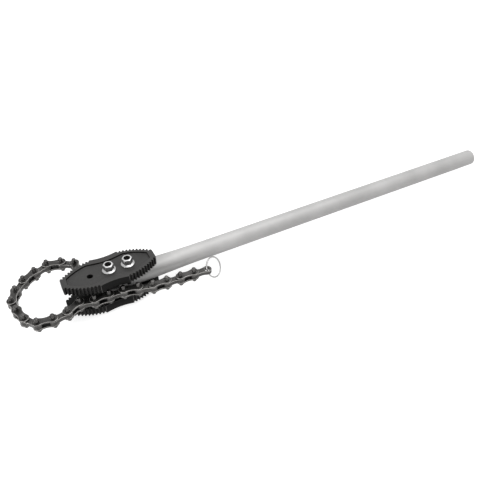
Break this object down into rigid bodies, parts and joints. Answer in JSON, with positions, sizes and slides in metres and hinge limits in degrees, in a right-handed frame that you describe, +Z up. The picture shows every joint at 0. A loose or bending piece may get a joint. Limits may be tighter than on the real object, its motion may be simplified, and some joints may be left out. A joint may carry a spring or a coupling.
{
  "type": "chain wrench",
  "caption": "Chain wrench: two toothed double-ended jaws bolted to a tube handle, with a leaf chain on a hinge looped through them and a pull ring at its end.",
  "frame": {"origin": "centre of the lower face of the middle bolt's head, on which the wrench lies", "axes": "+X along the handle from the jaws to its far end, +Z up, square to the jaw plates"},
  "size_m": [1.0383, 0.164, 0.0808],
  "materials": {
    "handle_paint": "satin",
    "jaw_steel": "satin",
    "zinc_plate": "polished",
    "chain_steel": "satin",
    "ring_wire": "satin"
  },
  "bodies": {
    "handle_and_jaws": {"handle_tube": "handle_paint", "handle_core": "handle_paint", "handle_end_plug": "handle_paint", "jaw_upper": "jaw_steel", "jaw_lower": "jaw_steel", "bolt_centre": "zinc_plate", "bolt_rear": "zinc_plate", "nut_centre": "zinc_plate", "nut_rear": "zinc_plate"},
    "chain_link_01": {"link_01_anchor_block": "chain_steel"},
    "chain_link_02": {"link_02_pinned_plate": "chain_steel", "link_02_top_plate": "chain_steel"},
    "chain_link_03": {"link_03_block": "chain_steel"},
    "chain_link_04": {"link_04_pinned_plate": "chain_steel", "link_04_top_plate": "chain_steel"},
    "chain_link_05": {"link_05_block": "chain_steel"},
    "chain_link_06": {"link_06_pinned_plate": "chain_steel", "link_06_top_plate": "chain_steel"},
    "chain_link_07": {"link_07_block": "chain_steel"},
    "chain_link_08": {"link_08_pinned_plate": "chain_steel", "link_08_top_plate": "chain_steel"},
    "chain_link_09": {"link_09_block": "chain_steel"},
    "chain_link_10": {"link_10_pinned_plate": "chain_steel", "link_10_top_plate": "chain_steel"},
    "chain_link_11": {"link_11_block": "chain_steel"},
    "chain_link_12": {"link_12_pinned_plate": "chain_steel", "link_12_top_plate": "chain_steel"},
    "chain_link_13": {"link_13_block": "chain_steel"},
    "chain_link_14": {"link_14_pinned_plate": "chain_steel", "link_14_top_plate": "chain_steel"},
    "chain_link_15": {"link_15_block": "chain_steel"},
    "chain_link_16": {"link_16_pinned_plate": "chain_steel", "link_16_top_plate": "chain_steel"},
    "chain_link_17": {"link_17_block": "chain_steel"},
    "chain_link_18": {"link_18_pinned_plate": "chain_steel", "link_18_top_plate": "chain_steel"},
    "chain_link_19": {"link_19_block": "chain_steel"},
    "chain_link_20": {"link_20_pinned_plate": "chain_steel", "link_20_top_plate": "chain_steel"},
    "chain_link_21": {"link_21_block": "chain_steel"},
    "chain_link_22": {"link_22_pinned_plate": "chain_steel", "link_22_top_plate": "chain_steel"},
    "chain_link_23": {"link_23_block": "chain_steel"},
    "chain_link_24": {"link_24_pinned_plate": "chain_steel", "link_24_top_plate": "chain_steel"},
    "chain_link_25": {"link_25_end_block": "chain_steel"},
    "ring": {"pull_ring": "ring_wire"}
  },
  "joints": [
    {"name": "anchor_hinge", "type": "hinge", "parent": "handle_and_jaws", "child": "chain_link_01", "pos_m": [0, 0, 0.03805], "axis": [0, 0, 1], "range_deg": [-6, 1]},
    {"name": "link_hinge_02", "type": "hinge", "parent": "chain_link_01", "child": "chain_link_02", "pos_m": [-0.02465, 0.00615, 0.03805], "axis": [0, 0, 1], "range_deg": [-3, 0]},
    {"name": "link_hinge_03", "type": "hinge", "parent": "chain_link_02", "child": "chain_link_03", "pos_m": [-0.04352, 0.02314, 0.03805], "axis": [0, 0, 1], "range_deg": [-3, 0]},
    {"name": "link_hinge_04", "type": "hinge", "parent": "chain_link_03", "child": "chain_link_04", "pos_m": [-0.04793, 0.04816, 0.03805], "axis": [0, 0, 1], "range_deg": [-3, 0]},
    {"name": "link_hinge_05", "type": "hinge", "parent": "chain_link_04", "child": "chain_link_05", "pos_m": [-0.04572, 0.07346, 0.03805], "axis": [0, 0, 1], "range_deg": [-63, 0]},
    {"name": "link_hinge_06", "type": "hinge", "parent": "chain_link_05", "child": "chain_link_06", "pos_m": [-0.06678, 0.08766, 0.03805], "axis": [0, 0, 1], "range_deg": [-22, 0]},
    {"name": "link_hinge_07", "type": "hinge", "parent": "chain_link_06", "child": "chain_link_07", "pos_m": [-0.09142, 0.09381, 0.03805], "axis": [0, 0, 1], "range_deg": [-37, 0]},
    {"name": "link_hinge_08", "type": "hinge", "parent": "chain_link_07", "child": "chain_link_08", "pos_m": [-0.11513, 0.0847, 0.03805], "axis": [0, 0, 1], "range_deg": [-11, 0]},
    {"name": "link_hinge_09", "type": "hinge", "parent": "chain_link_08", "child": "chain_link_09", "pos_m": [-0.13713, 0.072, 0.03805], "axis": [0, 0, 1], "range_deg": [-19, 0]},
    {"name": "link_hinge_10", "type": "hinge", "parent": "chain_link_09", "child": "chain_link_10", "pos_m": [-0.15445, 0.05343, 0.03805], "axis": [0, 0, 1], "range_deg": [-21, 0]},
    {"name": "link_hinge_11", "type": "hinge", "parent": "chain_link_10", "child": "chain_link_11", "pos_m": [-0.16478, 0.03022, 0.03805], "axis": [0, 0, 1], "range_deg": [-34, 0]},
    {"name": "link_hinge_12", "type": "hinge", "parent": "chain_link_11", "child": "chain_link_12", "pos_m": [-0.16134, 0.00506, 0.03805], "axis": [0, 0, 1], "range_deg": [-10, 0]},
    {"name": "link_hinge_13", "type": "hinge", "parent": "chain_link_12", "child": "chain_link_13", "pos_m": [-0.15434, -0.01936, 0.03805], "axis": [0, 0, 1], "range_deg": [-27, 0]},
    {"name": "link_hinge_14", "type": "hinge", "parent": "chain_link_13", "child": "chain_link_14", "pos_m": [-0.13754, -0.03841, 0.03805], "axis": [0, 0, 1], "range_deg": [-42, 0]},
    {"name": "link_hinge_15", "type": "hinge", "parent": "chain_link_14", "child": "chain_link_15", "pos_m": [-0.1124, -0.04203, 0.03805], "axis": [0, 0, 1], "range_deg": [-20, 0]},
    {"name": "link_hinge_16", "type": "hinge", "parent": "chain_link_15", "child": "chain_link_16", "pos_m": [-0.08733, -0.03793, 0.03805], "axis": [0, 0, 1], "range_deg": [-18, 0]},
    {"name": "link_hinge_17", "type": "hinge", "parent": "chain_link_16", "child": "chain_link_17", "pos_m": [-0.06445, -0.02691, 0.03805], "axis": [0, 0, 1], "range_deg": [-3, 0]},
    {"name": "link_hinge_18", "type": "hinge", "parent": "chain_link_17", "child": "chain_link_18", "pos_m": [-0.03973, -0.03276, 0.03805], "axis": [0, 0, 1], "range_deg": [-15, 0]},
    {"name": "link_hinge_19", "type": "hinge", "parent": "chain_link_18", "child": "chain_link_19", "pos_m": [-0.01433, -0.03276, 0.03805], "axis": [0, 0, 1], "range_deg": [-3, 0]},
    {"name": "link_hinge_20", "type": "hinge", "parent": "chain_link_19", "child": "chain_link_20", "pos_m": [0.01104, -0.03409, 0.03805], "axis": [0, 0, 1], "range_deg": [-3, 0]},
    {"name": "link_hinge_21", "type": "hinge", "parent": "chain_link_20", "child": "chain_link_21", "pos_m": [0.03579, -0.0398, 0.03805], "axis": [0, 0, 1], "range_deg": [-3, 0]},
    {"name": "link_hinge_22", "type": "hinge", "parent": "chain_link_21", "child": "chain_link_22", "pos_m": [0.0602, -0.0468, 0.03805], "axis": [0, 0, 1], "range_deg": [-16, 0]},
    {"name": "link_hinge_23", "type": "hinge", "parent": "chain_link_22", "child": "chain_link_23", "pos_m": [0.08554, -0.04857, 0.03805], "axis": [0, 0, 1], "range_deg": [-15, 0]},
    {"name": "link_hinge_24", "type": "hinge", "parent": "chain_link_23", "child": "chain_link_24", "pos_m": [0.11088, -0.05035, 0.03805], "axis": [0, 0, 1], "range_deg": [-15, 0]},
    {"name": "link_hinge_25", "type": "hinge", "parent": "chain_link_24", "child": "chain_link_25", "pos_m": [0.13622, -0.05212, 0.03805], "axis": [0, 0, 1], "range_deg": [-20, 2]},
    {"name": "ring_swivel", "type": "hinge", "parent": "chain_link_25", "child": "ring", "pos_m": [0.16156, -0.05389, 0.03805], "axis": [0, 0, 1], "range_deg": [-70, 20]}
  ]
}
